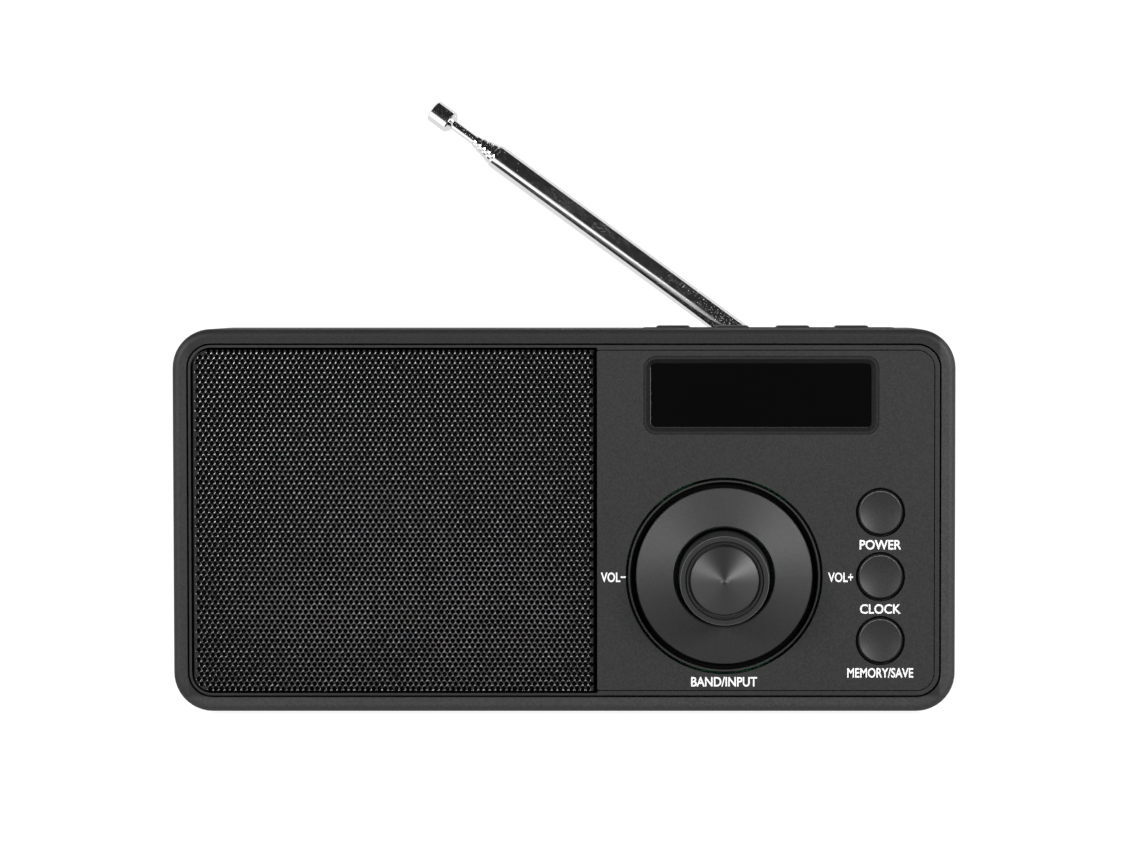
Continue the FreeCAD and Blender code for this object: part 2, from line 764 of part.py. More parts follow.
def battery_cell():
    cell = rod(cell_radius, V(cell_left, cell_y, cell_z), V(cell_left + cell_length, cell_y, cell_z))
    return cell.makeFillet(0.8, [e for e in cell.Edges if e.BoundBox.XLength < 1e-4])


def battery_holder():
    right = cell_left + cell_length
    tray = block(cell_left - 1.6, right + 1.6, cell_y - 8.5, cell_y + 8.5, wall, cell_z - 2.0)
    trough = rod(cell_radius + 0.05, V(cell_left - 0.1, cell_y, cell_z), V(right + 0.1, cell_y, cell_z))
    return tray.cut(trough)


def wiring():
    """The speaker, battery and antenna leads, and the flat cable between the two boards."""
    x = speaker_x + 24.0
    leads = [ribbon_cable(), antenna_lead()]
    for offset in (-4.5, 4.5):
        z = speaker_z + offset
        leads.append(tube([(x, 5.0, z), (x, 12.0, z), (-2.0, 16.0, z - 3), (8.0, 16.0, z - 3),
                           (17.5, 14.5, z - 3), (17.5, main_board_back, z - 3)], 0.6))
    for x in (65.4, 67.4):
        leads.append(tube([(x, cell_y + 8.5, 8.0), (x, 9.0, 8.0), (x, 13.0, 14.0), (x, 14.0, 24.0),
                           (x, 13.5, 36.5), (x, main_board_back, 36.5)], 0.6))
    return Part.makeCompound(leads)


def ribbon_cable():
    """A flat cable from the key board back to the main board's connector."""
    thickness = 0.3
    rear = main_board_front - 5.0
    run = block(25.0, 39.0, key_board_front + board_thickness, rear - thickness, 42.4, 42.4 + thickness)
    drop = block(25.0, 39.0, rear - thickness, rear, 34.0, 42.4 + thickness)
    return run.fuse(drop)


def antenna_lead():
    x = pivot.x
    route = [(x, split - 2.0, pivot.z), (x, 5.0, pivot.z), (x - 1, 3.6, 76.0), (x - 2, 4.0, 69.5)]
    route.append((x - 2, main_board_front, 69.5))
    return tube(route, 0.6)


# Antenna ------------------------------------------------------------------------------------------

def antenna_bracket():
    """A round seat on the rebate's wall, with the fixed shoulder screw that the swivel turns on."""
    seat = disc(4.2, pivot.x, pivot.z, split + 2.0, split + 2.4)
    return seat.cut(disc(1.6, pivot.x, pivot.z, split, split + 3))


def antenna_screw():
    """A shoulder screw through the swivel, the seat and the rebate's wall, with a nut inside."""
    shank = disc(1.2, pivot.x, pivot.z, split, split + 4.0)
    head = disc(1.55, pivot.x, pivot.z, split + 4.0, split + 4.4)
    nut = disc(2.4, pivot.x, pivot.z, split - 2.0, split)
    return shank.fuse([head, nut])


def antenna_swivel():
    """A disc that turns on the screw, with two ears that hold the mast's pin."""
    base_front = split + 2.5 - pivot.y
    base_back = split + 4.0 - pivot.y
    base = Part.makeCylinder(3.8, base_back - base_front, V(0, base_front, 0), ALONG_Y)
    ears = []
    for side in (-1, 1):
        x = 2.3 * side
        ear = block(x - 0.6, x + 0.6, base_back, 0, -1.9, 1.9)
        ears.append(ear.fuse(rod(1.9, V(x - 0.6, 0, 0), V(x + 0.6, 0, 0))))
    body = base.fuse(ears)
    body = body.cut(Part.makeCylinder(1.25, 10, V(0, base_front - 1, 0), ALONG_Y))
    return body.cut(rod(0.9, V(-4, 0, 0), V(4, 0, 0)))


def antenna_pin():
    return rod(0.9, V(-3.2, 0, 0), V(3.2, 0, 0))


def mast_height(number):
    """Height of a section's open end above the pivot."""
    return mast_top + ring_step * number


def antenna_section(number):
    """One tube of the mast. Its nose is rounded over, and the first one ends in a tongue for the pin."""
    outer = section_outer[number]
    inner = section_inner[number]
    bottom = section_bottom[number]
    top = mast_height(number)
    mouth = inner - 0.02
    outline = [
        (inner, bottom),
        (outer, bottom),
        (outer, top - 0.75),
        (outer - 0.06, top - 0.35),
        (outer - 0.22, top - 0.08),
        (outer - 0.3, top),
        (mouth, top),
        (inner, top - 0.5),
    ]
    if outer - 0.3 < mouth:
        outline[5] = (mouth + 0.02, top)
    section = turned_mast(outline)
    if number == 0:
        plug = Part.makeCylinder(inner, 1.6, V(0, 0, bottom))
        collar = Part.makeCylinder(2.2, bottom - 3.4, V(0, 0, 3.4))
        tongue = block(-1.6, 1.6, -1.7, 1.7, 0, 3.8).fuse(rod(1.7, V(-1.6, 0, 0), V(1.6, 0, 0)))
        tongue = tongue.cut(rod(0.9 + running_gap, V(-3, 0, 0), V(3, 0, 0)))
        section = section.fuse([plug, collar, tongue])
    return section


def antenna_rod():
    return Part.makeCylinder(rod_radius, mast_height(4) + rod_show - 14.3, V(0, 0, 14.3))


def antenna_cap():
    """The button on the end of the rod, with a short shoulder below it."""
    low = mast_height(4) + rod_show
    outline = [
        (0.0, low),
        (rod_radius + 0.5, low),
        (cap_radius - 0.25, low + 0.7),
        (cap_radius, low + 1.0),
        (cap_radius, low + 0.7 + cap_length - 0.3),
        (cap_radius - 0.3, low + 0.7 + cap_length),
        (0.0, low + 0.7 + cap_length),
    ]
    return turned_mast(outline)


def build():
    os.makedirs("parts", exist_ok=True)
    makers = [
        front_case, rear_cover, front_baffle, control_panel, speaker_grille, dust_screen, display_bezel,
        display_lens, lcd_module, feet, case_screws, speaker_basket, speaker_surround, speaker_cone,
        speaker_dust_cap, speaker_voice_coil, speaker_magnet, speaker_yoke, speaker_terminals,
        inner_screws, selector_ring, ring_pivot_pins, ring_carrier, ring_mount, mount_pivot_pins,
        encoder_body, encoder_collar, encoder_shaft, tuning_knob, knob_cap, front_key_board,
        top_key_plate, top_key_board, tact_switches, main_board, board_pillars, board_components,
        headphone_jack, usb_socket, battery_cell, battery_holder, wiring, antenna_bracket, antenna_screw,
    ]
    for maker in makers:
        save(maker.__name__, maker())
    for name, z in zip(button_names, button_heights):
        save(name, front_button(z))
    for number, x in enumerate(key_xs, 1):
        save(f"top_key_{number}", top_key(x))
    save("antenna_swivel", place_swivel(antenna_swivel()))
    save("antenna_pin", place_swivel(antenna_pin()))
    for number in range(5):
        save(f"antenna_section_{number + 1}", place_mast(antenna_section(number)))
    save("antenna_rod", place_mast(antenna_rod()))
    save("antenna_cap", place_mast(antenna_cap()))


build()
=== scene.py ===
"""Looks for the tabletop radio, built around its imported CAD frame. Metres."""

import json
import math

import bmesh
import bpy
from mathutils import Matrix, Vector
from mathutils.geometry import delaunay_2d_cdt


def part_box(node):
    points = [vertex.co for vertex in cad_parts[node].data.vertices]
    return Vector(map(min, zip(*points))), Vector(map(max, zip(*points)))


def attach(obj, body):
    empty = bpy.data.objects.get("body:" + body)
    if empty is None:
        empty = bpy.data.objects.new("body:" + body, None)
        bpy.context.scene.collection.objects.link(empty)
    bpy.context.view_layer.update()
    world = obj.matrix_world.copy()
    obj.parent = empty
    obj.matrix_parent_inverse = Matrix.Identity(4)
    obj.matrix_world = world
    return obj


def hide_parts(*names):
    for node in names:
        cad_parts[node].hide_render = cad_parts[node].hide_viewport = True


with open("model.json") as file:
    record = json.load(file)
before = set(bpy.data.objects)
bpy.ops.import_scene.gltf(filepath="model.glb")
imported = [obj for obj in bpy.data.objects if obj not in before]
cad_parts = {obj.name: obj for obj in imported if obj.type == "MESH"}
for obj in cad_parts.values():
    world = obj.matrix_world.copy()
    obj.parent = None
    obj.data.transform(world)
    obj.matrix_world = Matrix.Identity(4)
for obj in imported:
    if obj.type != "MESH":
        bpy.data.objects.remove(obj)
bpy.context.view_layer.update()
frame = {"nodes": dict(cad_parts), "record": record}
nodes = frame["nodes"]

MM = 0.001

# Sizes -------------------------------------------------------------------------------------------

HOLE_PITCH = 1.3 * MM
HOLE_ROW = 1.107 * MM
HOLE_RADIUS = 0.5 * MM
HOLE_LEAD = 0.12 * MM       # rounded lead-in at each hole's rim
HOLE_STEPS = 12
SHEET = 0.6 * MM            # thickness of the grille's sheet
FOLD = 0.12 * MM            # rounding where the sheet folds back
FOLD_STEPS = 4
FOLD_SHADE = 0.36 * MM      # how far in from its edge painted shade makes the sheet black
FIELD_MARGIN = 0.05 * MM    # between the fold and the first cells of the holes
GRILLE_CORNER = 4.0 * MM    # at the left
GRILLE_INNER_CORNER = 0.8 * MM
SMALLEST_CORNER = 0.4 * MM
GRILLE_PIECES = 3
SHARP_ANGLE = math.radians(60.0)
# A hole's cell is a brick; these are its edge points, in quarter pitches and half rows from its middle.
BRICK_EDGE = [
    (2, 0), (2, 1), (1, 1), (0, 1), (-1, 1), (-2, 1),
    (-2, 0), (-2, -1), (-1, -1), (0, -1), (1, -1), (2, -1),
]

GROOVE_RADIUS = 20.92 * MM  # middle of the rocker ring's groove, painted dead black as shade
GROOVE_WIDTH = 1.3 * MM
PAINTED_HIGHLIGHT_WIDTH = 0.12 * MM     # width of the highlights painted along the edges of the knob and the buttons
KNOB_HIGHLIGHT_RADIUS = 10.0 * MM
BUTTON_HIGHLIGHT_RADIUS = 4.82 * MM
BUTTON_HIGHLIGHT_RISE = 2.0 * MM
WINDOW_HIGHLIGHT_WIDTH = 0.13 * MM       # width of the highlight painted along the display window's edge
LENS_CORNER = 1.35 * MM
CASE_BORDER = 4.0 * MM      # width of the case's frame
BORDER_FADE = 0.8           # share of that width at which the light painted along its border begins to fade
BEHIND_SHEET = 0.8 * MM     # depth at which painted shade makes the insert black

CAP_HEIGHT = 2.25 * MM
INK = 0.02 * MM             # thickness of the printing
INK_WEIGHT = 0.02           # how far the strokes are thickened, as a share of the letter size
WORD_BELOW_BUTTON = 7.45 * MM
WORD_BELOW_DIAL = 24.4 * MM
WORD_BESIDE_RING = 4.35 * MM
WORD_DROP = 0.3 * MM        # how far the two words beside the ring are below its middle
LOUDER_SHIFT = 0.4 * MM
SOFTER_SHIFT = 0.9 * MM

# Places read from the frame -----------------------------------------------------------------------

case_low, case_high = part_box("front_case")
grille_low, grille_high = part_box("speaker_grille")
panel_low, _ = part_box("control_panel")
ring_low, ring_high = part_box("selector_ring")
lens_low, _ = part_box("display_lens")
panel_y = panel_low.y
front_y = case_low.y
case_base = case_low.z
dial = Vector(((ring_low.x + ring_high.x) / 2, panel_y, (ring_low.z + ring_high.z) / 2))


# Camera and studio --------------------------------------------------------------------------------

CAMERA_DISTANCE = 0.8
CAMERA_PITCH = math.radians(2.15)
CAMERA_LENS = 110.05
SENSOR = 36.0
AIM = Vector((0.030, front_y, case_base + 0.0655))
FRAME_MIDDLE_X = 0.0014     # the lens is shifted sideways so that the picture is centred here

SKY = 0.47                  # even light from all round; the camera itself sees a white room
SHINE_FRONT = 0.2           # brightness that reflections see in front of the set
SHINE_BACK = 0.8            # and behind it
SHINE_TURN = -0.35          # direction, along Y, from which the second begins to take over
SOFTBOX_X = 0.84
SOFTBOX_Y = -0.95
SOFTBOX_Z = 0.44
SOFTBOX_SIZE = 0.35
LEFT_POWER = 12.1
RIGHT_POWER = 13.3
SHEET_SIZE = 4.0            # white sheet under the set that only the chrome reflects
SHEET_DEPTH = 0.25
SHEET_REACH = -0.06         # where it ends, from the middle of the set
SHEET_LEVEL = 0.95
ARCH_FOOT = case_base + 0.12
ARCH_END = 114.0            # degrees over, from straight ahead
ARCH_RADIUS = 1.9
ARCH_LEVEL = 0.02
FLOOR_LEVEL = 0.25
FLOOR_GLOW = 0.93


def make_camera():
    data = bpy.data.cameras.new("camera")
    data.lens = CAMERA_LENS
    data.sensor_width = SENSOR
    data.sensor_fit = "HORIZONTAL"
    data.shift_x = (FRAME_MIDDLE_X - AIM.x) / CAMERA_DISTANCE * CAMERA_LENS / SENSOR
    data.clip_end = 20.0
    camera = bpy.data.objects.new("camera", data)
    back = Vector((0.0, -math.cos(CAMERA_PITCH), math.sin(CAMERA_PITCH)))
    camera.location = AIM + back * CAMERA_DISTANCE
    camera.rotation_euler = (math.pi / 2 - CAMERA_PITCH, 0.0, 0.0)
    bpy.context.scene.collection.objects.link(camera)
    bpy.context.scene.camera = camera


def area_light(name, place, target, width, height, power):
    data = bpy.data.lights.new(name, "AREA")
    data.shape = "RECTANGLE"
    data.size = width
    data.size_y = height
    data.energy = power
    light = bpy.data.objects.new(name, data)
    light.location = place
    light.rotation_euler = (Vector(target) - Vector(place)).to_track_quat("-Z", "Y").to_euler()
    bpy.context.scene.collection.objects.link(light)
    return light


def strip_mesh(name, profile, width):
    """A sheet swept along X from a profile of (y, z) points."""
    points = []
    faces = []
    for i, (y, z) in enumerate(profile):
        points.extend([(-width, y, z), (width, y, z)])
        if i:
            faces.append((2 * i - 2, 2 * i - 1, 2 * i + 1, 2 * i))
    mesh = bpy.data.meshes.new(name)
    mesh.from_pydata(points, [], faces)
    mesh.polygons.foreach_set("use_smooth", [True] * len(faces))
    sheet = bpy.data.objects.new(name, mesh)
    bpy.context.scene.collection.objects.link(sheet)
    return sheet


def paint(sheet, level, glow):
    """A plain finish for a piece of the studio; glow is light that it gives off itself."""
    material = bpy.data.materials.new(sheet.name)
    material.use_nodes = True
    shader = material.node_tree.nodes["Principled BSDF"]
    shader.inputs["Base Color"].default_value = (level, level, level, 1)
    shader.inputs["Roughness"].default_value = 1.0
    shader.inputs["Specular IOR Level"].default_value = 0.0
    shader.inputs["Emission Color"].default_value = (1, 1, 1, 1)
    shader.inputs["Emission Strength"].default_value = glow
    sheet.data.materials.append(material)


def make_arch():
    """A black cloth over the set, from the lens's height over the top and a little behind, as a
    photographer hangs one to put a dark band in chrome. Only reflections see it."""
    steps = 24
    angles = [math.radians(ARCH_END) * i / steps for i in range(steps + 1)]
    profile = [(-ARCH_RADIUS * math.cos(a), ARCH_FOOT + ARCH_RADIUS * math.sin(a)) for a in angles]
    arch = strip_mesh("dark_arch", profile, 3.2)
    paint(arch, 0.0, ARCH_LEVEL)
    arch.visible_camera = False
    arch.visible_shadow = False
    arch.visible_diffuse = False


def make_floor():
    """A pale lit floor that curves up into a backdrop far behind."""
    depth_back = 2.6
    bend = 1.0
    height = 3.0
    near = -3.0
    steps = 16
    profile = [(near, 0.0)]
    for i in range(steps + 1):
        angle = math.pi / 2 * i / steps
        profile.append((depth_back - bend + bend * math.sin(angle), bend - bend * math.cos(angle)))
    profile.append((depth_back, height))
    floor = strip_mesh("floor", profile, 4.0)
    paint(floor, FLOOR_LEVEL, FLOOR_GLOW)
    floor.visible_glossy = False
    floor.visible_diffuse = False


def make_chrome_sheet(chrome_pieces, rear_cover):
    """A white sheet low in front of the set that only the chrome catches. Of the set itself, only the
    chrome and the rear cover stand in its way."""
    group = bpy.data.collections.new("chrome_pieces")
    blockers = bpy.data.collections.new("sheet_blockers")
    for piece in chrome_pieces:
        group.objects.link(piece)
        blockers.objects.link(piece)
    blockers.objects.link(rear_cover)
    power = SHEET_LEVEL * math.pi * SHEET_SIZE ** 2
    place = (0, SHEET_REACH - SHEET_SIZE / 2, -SHEET_DEPTH)
    sheet = area_light("white_sheet", place, (0, place[1], 1.0), SHEET_SIZE, SHEET_SIZE, power)
    sheet.light_linking.receiver_collection = group
    sheet.light_linking.blocker_collection = blockers


def make_world():
    """A room that is white to the camera, dimmer as a light, and dark in reflections except behind."""
    world = bpy.data.worlds.new("studio")
    world.use_nodes = True
    tree = world.node_tree
    background = tree.nodes["Background"]
    background.inputs["Color"].default_value = (1, 1, 1, 1)
    ray = tree.nodes.new("ShaderNodeLightPath")
    direction = tree.nodes.new("ShaderNodeTexCoord")
    parts = tree.nodes.new("ShaderNodeSeparateXYZ")
    shine = tree.nodes.new("ShaderNodeMapRange")
    choice = tree.nodes.new("ShaderNodeMix")
    view = tree.nodes.new("ShaderNodeMix")
    shine.inputs["From Min"].default_value = SHINE_TURN
    shine.inputs["From Max"].default_value = 0.0
    shine.inputs["To Min"].default_value = SHINE_FRONT
    shine.inputs["To Max"].default_value = SHINE_BACK
    choice.inputs["A"].default_value = SKY
    tree.links.new(direction.outputs["Generated"], parts.inputs[0])
    tree.links.new(parts.outputs["Y"], shine.inputs["Value"])
    tree.links.new(ray.outputs["Is Glossy Ray"], choice.inputs["Factor"])
    tree.links.new(shine.outputs["Result"], choice.inputs["B"])
    view.inputs["B"].default_value = 1.0
    tree.links.new(ray.outputs["Is Camera Ray"], view.inputs["Factor"])
    tree.links.new(choice.outputs["Result"], view.inputs["A"])
    tree.links.new(view.outputs["Result"], background.inputs["Strength"])
    bpy.context.scene.world = world


def make_studio():
    make_world()
    bpy.context.scene.view_settings.view_transform = "Standard"
    for name, side, power in (("softbox_left", -1, LEFT_POWER), ("softbox_right", 1, RIGHT_POWER)):
        place = (side * SOFTBOX_X, SOFTBOX_Y, SOFTBOX_Z)
        area_light(name, place, (0, front_y, case_base + 0.05), SOFTBOX_SIZE, SOFTBOX_SIZE, power)
    make_arch()
    make_floor()


# Material helpers ---------------------------------------------------------------------------------

class Nodes:
    """A short way to add and join shader nodes in one material."""

    def __init__(self, name):
        self.material = bpy.data.materials.new(name)
        self.material.use_nodes = True
        self.tree = self.material.node_tree
        self.shader = self.tree.nodes["Principled BSDF"]

    def add(self, kind, **values):
        node = self.tree.nodes.new(kind)
        for key, value in values.items():
            if key in node.inputs:
                node.inputs[key].default_value = value
            else:
                setattr(node, key, value)
        return node

    def link(self, out, into):
        self.tree.links.new(out, into)

    def place(self):
        """Position on the piece, in metres."""
        return self.add("ShaderNodeTexCoord").outputs["Object"]

    def noise(self, scale, detail=2.0, roughness=0.5):
        node = self.add("ShaderNodeTexNoise", Scale=scale, Detail=detail, Roughness=roughness)
        self.link(self.place(), node.inputs["Vector"])
        return node.outputs["Fac"]

    def spread(self, value, low, high, from_low=0.0, from_high=1.0):
        """Map a value's range onto another."""
        node = self.add("ShaderNodeMapRange")
        node.inputs["From Min"].default_value = from_low
        node.inputs["From Max"].default_value = from_high
        node.inputs["To Min"].default_value = low
        node.inputs["To Max"].default_value = high
        self.link(value, node.inputs["Value"])
        return node.outputs["Result"]

    def between(self, factor, dark, light):
        """A colour between two greys or colours."""
        node = self.add("ShaderNodeMix", data_type="RGBA")
        node.inputs[6].default_value = (*dark, 1)
        node.inputs[7].default_value = (*light, 1)
        self.link(factor, node.inputs[0])
        return node.outputs[2]

    def mixed(self, factor, first, second):
        """The first colour where factor is 0, the second where it is 1."""
        node = self.add("ShaderNodeMix", data_type="RGBA")
        self.link(factor, node.inputs[0])
        self.link(first, node.inputs[6])
        self.link(second, node.inputs[7])
        return node.outputs[2]

    def brighter(self, colour, share):
        """A colour made lighter by a share of itself."""
        node = self.add("ShaderNodeVectorMath", operation="SCALE")
        self.link(colour, node.inputs[0])
        self.link(self.math("ADD", share, 1.0), node.inputs["Scale"])
        return node.outputs[0]

    def math(self, operation, first, second):
        """A sum or product of two values, either of which may be a plain number."""
        node = self.add("ShaderNodeMath", operation=operation)
        for socket, value in zip(node.inputs, (first, second)):
            if isinstance(value, (int, float)):
                socket.default_value = value
            else:
                self.link(value, socket)
        return node.outputs[0]

    def gap(self, value, target):
        """How far a value is from a number, either way."""
        return self.math("ABSOLUTE", self.math("SUBTRACT", value, target), 0.0)

    def past(self, value, limit):
        """How far one value is past another, or 0. Either may be a plain number."""
        return self.math("MAXIMUM", self.math("SUBTRACT", value, limit), 0.0)

    def scaled(self, value, factor):
        return self.math("MULTIPLY", value, factor)

    def times(self, first, second):
        return self.math("MULTIPLY", first, second)

    def plus(self, first, second, share):
        """The first value and a share of the second."""
        return self.math("ADD", first, self.scaled(second, share))

    def blend_values(self, first, second, share):
        """A weighted mean; share is the second value's weight."""
        return self.plus(self.scaled(first, 1 - share), second, share)

    def cells(self, scale):
        """Distance to the nearest of many scattered points, in cell sizes."""
        node = self.add("ShaderNodeTexVoronoi", Scale=scale)
        self.link(self.place(), node.inputs["Vector"])
        return node.outputs["Distance"]

    def split_place(self):
        node = self.add("ShaderNodeSeparateXYZ")
        self.link(self.place(), node.inputs[0])
        return node.outputs

    def distance_from(self, axis_point):
        """Distance from the front-to-back line through a point."""
        x, _, z = self.split_place()
        across = self.math("SUBTRACT", x, axis_point.x)
        up = self.math("SUBTRACT", z, axis_point.z)
        total = self.math("ADD", self.times(across, across), self.times(up, up))
        return self.math("POWER", total, 0.5)

    def upright_place(self):
        """Position with height in the second place, for patterns that lie on boards that stand up."""
        x, y, z = self.split_place()
        node = self.add("ShaderNodeCombineXYZ")
        self.link(x, node.inputs[0])
        self.link(self.math("ADD", y, z), node.inputs[1])
        return node.outputs[0]

    def bump(self, height, distance, strength=1.0):
        node = self.add("ShaderNodeBump", Strength=strength, Distance=distance)
        self.link(height, node.inputs["Height"])
        self.link(node.outputs["Normal"], self.shader.inputs["Normal"])

    def set(self, **values):
        for key, value in values.items():
            self.shader.inputs[key.replace("_", " ")].default_value = value


def moulded(name, level, roughness, grain=2600.0, grain_depth=0.000016, specular=0.3, index=1.5,
            painted_shade=None, painted_light=None):
    """Moulded plastic: a spark-eroded grain, a little unevenness in shade and gloss. painted_shade(m) gives
    a value that is 1 where painted shade makes it dead black, without shine; painted_light(m) gives how much
    lighter it is painted from place to place, as a share, for painted highlights and light (darker where
    negative)."""
    m = Nodes(name)
    fine = m.noise(grain, 2.0)
    cloud = m.noise(60.0, 3.0)
    shade = m.blend_values(m.spread(fine, 0.0, 1.0, 0.35, 0.65), cloud, 0.25)
    low = [level * 0.7 * t for t in (1.0, 1.0, 1.02)]
    high = [level * 1.3 * t for t in (1.0, 1.0, 1.02)]
    colour = m.between(shade, low, high)
    if painted_light:
        # Painted light: highlights and lit borders made lighter in the colour.
        colour = m.brighter(colour, painted_light(m))
    if painted_shade:
        # Painted shade: dead black, and metallic so that it has no shine.
        painted_shade_mask = painted_shade(m)
        black = m.between(shade, (0.004, 0.004, 0.004), (0.008, 0.008, 0.008))
        colour = m.mixed(painted_shade_mask, colour, black)
        m.link(painted_shade_mask, m.shader.inputs["Metallic"])
    m.link(colour, m.shader.inputs["Base Color"])
    m.link(m.spread(m.noise(grain * 0.6), roughness - 0.05, roughness + 0.05), m.shader.inputs["Roughness"])
    m.set(Specular_IOR_Level=specular, IOR=index)
    m.bump(fine, grain_depth)
    return m.material


def dusted_chrome():
    """Bright plate with faint drawing marks and a few specks of dust."""
    m = Nodes("chrome_plate")
    cloud = m.noise(160.0, 3.0)
    plate = m.between(cloud, (0.86, 0.86, 0.87), (0.93, 0.93, 0.94))
    specks = m.spread(m.cells(2600.0), 1.0, 0.0, 0.12, 0.28)
    patches = m.spread(m.noise(60.0, 3.0), 0.1, 0.8, 0.42, 0.62)
    dust = m.times(specks, patches)
    grey = m.between(cloud, (0.25, 0.25, 0.25), (0.4, 0.4, 0.4))
    m.link(m.mixed(dust, plate, grey), m.shader.inputs["Base Color"])
    m.link(m.math("SUBTRACT", 1.0, dust), m.shader.inputs["Metallic"])
    smears = m.plus(dust, m.noise(900.0, 4.0), 0.12)
    m.link(m.spread(smears, 0.035, 0.5, 0.0, 1.1), m.shader.inputs["Roughness"])
    m.bump(m.noise(2500.0, 2.0), 0.0000015)
    return m.material


def metal(name, tint, roughness, scale=1800.0, depth=0.000004):
    """Bare or plated metal with fine handling marks."""
    m = Nodes(name)
    m.set(Metallic=1.0)
    cloud = m.noise(scale / 4, 3.0)
    low = [0.88 * t for t in tint]
    high = [min(1.0, 1.08 * t) for t in tint]
    m.link(m.between(cloud, low, high), m.shader.inputs["Base Color"])
    m.link(m.spread(m.noise(scale), roughness - 0.08, roughness + 0.08), m.shader.inputs["Roughness"])
    m.bump(m.noise(scale * 3, 1.0), depth)
    return m.material


def spun_metal():
    """Dark anodised aluminium, turned: circular marks about the knob's axis spread its shine into fans."""
    m = Nodes("spun_metal")
    m.set(Metallic=1.0)
    radius = m.distance_from(dial)
    marks = m.add("ShaderNodeTexNoise", noise_dimensions="1D", Scale=1.0, Detail=3.0, Roughness=0.7)
    m.link(m.scaled(radius, 9000.0), marks.inputs["W"])
    colour = m.between(marks.outputs["Fac"], (0.148, 0.148, 0.15), (0.247, 0.247, 0.249))
    m.link(colour, m.shader.inputs["Base Color"])
    m.link(m.spread(marks.outputs["Fac"], 0.3, 0.4), m.shader.inputs["Roughness"])
    m.set(Anisotropic=0.5, Anisotropic_Rotation=0.25)
    tangent = m.add("ShaderNodeTangent", direction_type="RADIAL", axis="Y")
    m.link(tangent.outputs["Tangent"], m.shader.inputs["Tangent"])
    m.bump(marks.outputs["Fac"], 0.000002, 0.4)
    return m.material


def gloss(name, dark, light, roughness=0.12, specular=0.4, scale=300.0):
    """A smooth moulding or film."""
    m = Nodes(name)
    m.link(m.between(m.noise(scale / 8, 2.0), dark, light), m.shader.inputs["Base Color"])
    m.link(m.spread(m.noise(scale, 2.0), roughness * 0.7, roughness * 1.3), m.shader.inputs["Roughness"])
    m.set(Specular_IOR_Level=specular)
    m.bump(m.noise(scale * 4, 1.0), 0.000001)
    return m.material


def paper_pulp():
    """A pressed paper cone: matted fibres."""
    m = Nodes("cone_paper")
    fibres = m.noise(1400.0, 6.0, 0.75)
    m.link(m.between(fibres, (0.0015, 0.0015, 0.0015), (0.004, 0.004, 0.004)), m.shader.inputs["Base Color"])
    m.link(m.spread(fibres, 0.45, 0.7), m.shader.inputs["Roughness"])
    m.set(Specular_IOR_Level=0.08)
    m.bump(fibres, 0.00003)
    return m.material


def wound_copper():
    """Enamelled wire wound side by side along the coil's axis."""
    m = Nodes("coil_copper")
    m.set(Metallic=1.0)
    turns = m.add("ShaderNodeTexWave", wave_type="BANDS", bands_direction="Y", Scale=1500.0, Distortion=0.0)
    m.link(m.place(), turns.inputs["Vector"])
    colour = m.between(turns.outputs["Fac"], (0.3, 0.11, 0.05), (0.75, 0.36, 0.2))
    m.link(colour, m.shader.inputs["Base Color"])
    m.link(m.spread(m.noise(900.0), 0.25, 0.4), m.shader.inputs["Roughness"])
    m.bump(turns.outputs["Fac"], 0.00002)
    return m.material


def solder_mask():
    """Green board lacquer over faint copper runs."""
    m = Nodes("circuit_board")
    runs = m.add("ShaderNodeTexBrick", Scale=260.0)
    runs.inputs["Color1"].default_value = (0.012, 0.09, 0.035, 1)
    runs.inputs["Color2"].default_value = (0.016, 0.12, 0.045, 1)
    runs.inputs["Mortar"].default_value = (0.03, 0.2, 0.08, 1)
    runs.inputs["Mortar Size"].default_value = 0.03
    m.link(m.upright_place(), runs.inputs["Vector"])
    m.link(runs.outputs["Color"], m.shader.inputs["Base Color"])
    m.link(m.spread(m.noise(500.0), 0.25, 0.4), m.shader.inputs["Roughness"])
    m.bump(runs.outputs["Fac"], 0.00002)
    return m.material


def painted_shade_behind_sheet(m):
    """1 on the part of the insert that lies behind the grille's sheet, where painted shade makes it dead
    black.
    """
    _, y, _ = m.split_place()
    return m.math("GREATER_THAN", y, panel_y + BEHIND_SHEET)


def on_circle(m, middle, radius, width):
    """1 on a circular band about a front-to-back line."""
    return m.math("LESS_THAN", m.gap(m.distance_from(middle), radius), width / 2)


def painted_groove_shade(m):
    """1 in the groove round the rocker ring, where painted shade makes it dead black."""
    return on_circle(m, dial, GROOVE_RADIUS, GROOVE_WIDTH)


def painted_knob_highlight(m):
    """How much lighter the knob is painted along its edge, as a painted highlight, and how much darker it is
    inside that edge.
    """
    inside = m.math("LESS_THAN", m.distance_from(dial), KNOB_HIGHLIGHT_RADIUS)
    highlight_band = on_circle(m, dial, KNOB_HIGHLIGHT_RADIUS, PAINTED_HIGHLIGHT_WIDTH)
    return m.math("ADD", m.scaled(highlight_band, 4.0), m.scaled(inside, -0.5))


def painted_button_highlights(m):
    """Painted highlights: how much lighter the front buttons are painted along the upper part of their edges,
    where light falls.
    """
    total = 0.0
    _, _, z = m.split_place()
    for name in ("power_button", "clock_button", "memory_button"):
        low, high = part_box(name)
        middle = (low + high) / 2
        upper = m.spread(z, 0.0, 7.0, middle.z, middle.z + BUTTON_HIGHLIGHT_RISE)
        highlight_band = on_circle(m, middle, BUTTON_HIGHLIGHT_RADIUS, PAINTED_HIGHLIGHT_WIDTH)
        total = m.math("ADD", m.times(highlight_band, upper), total)
    return total


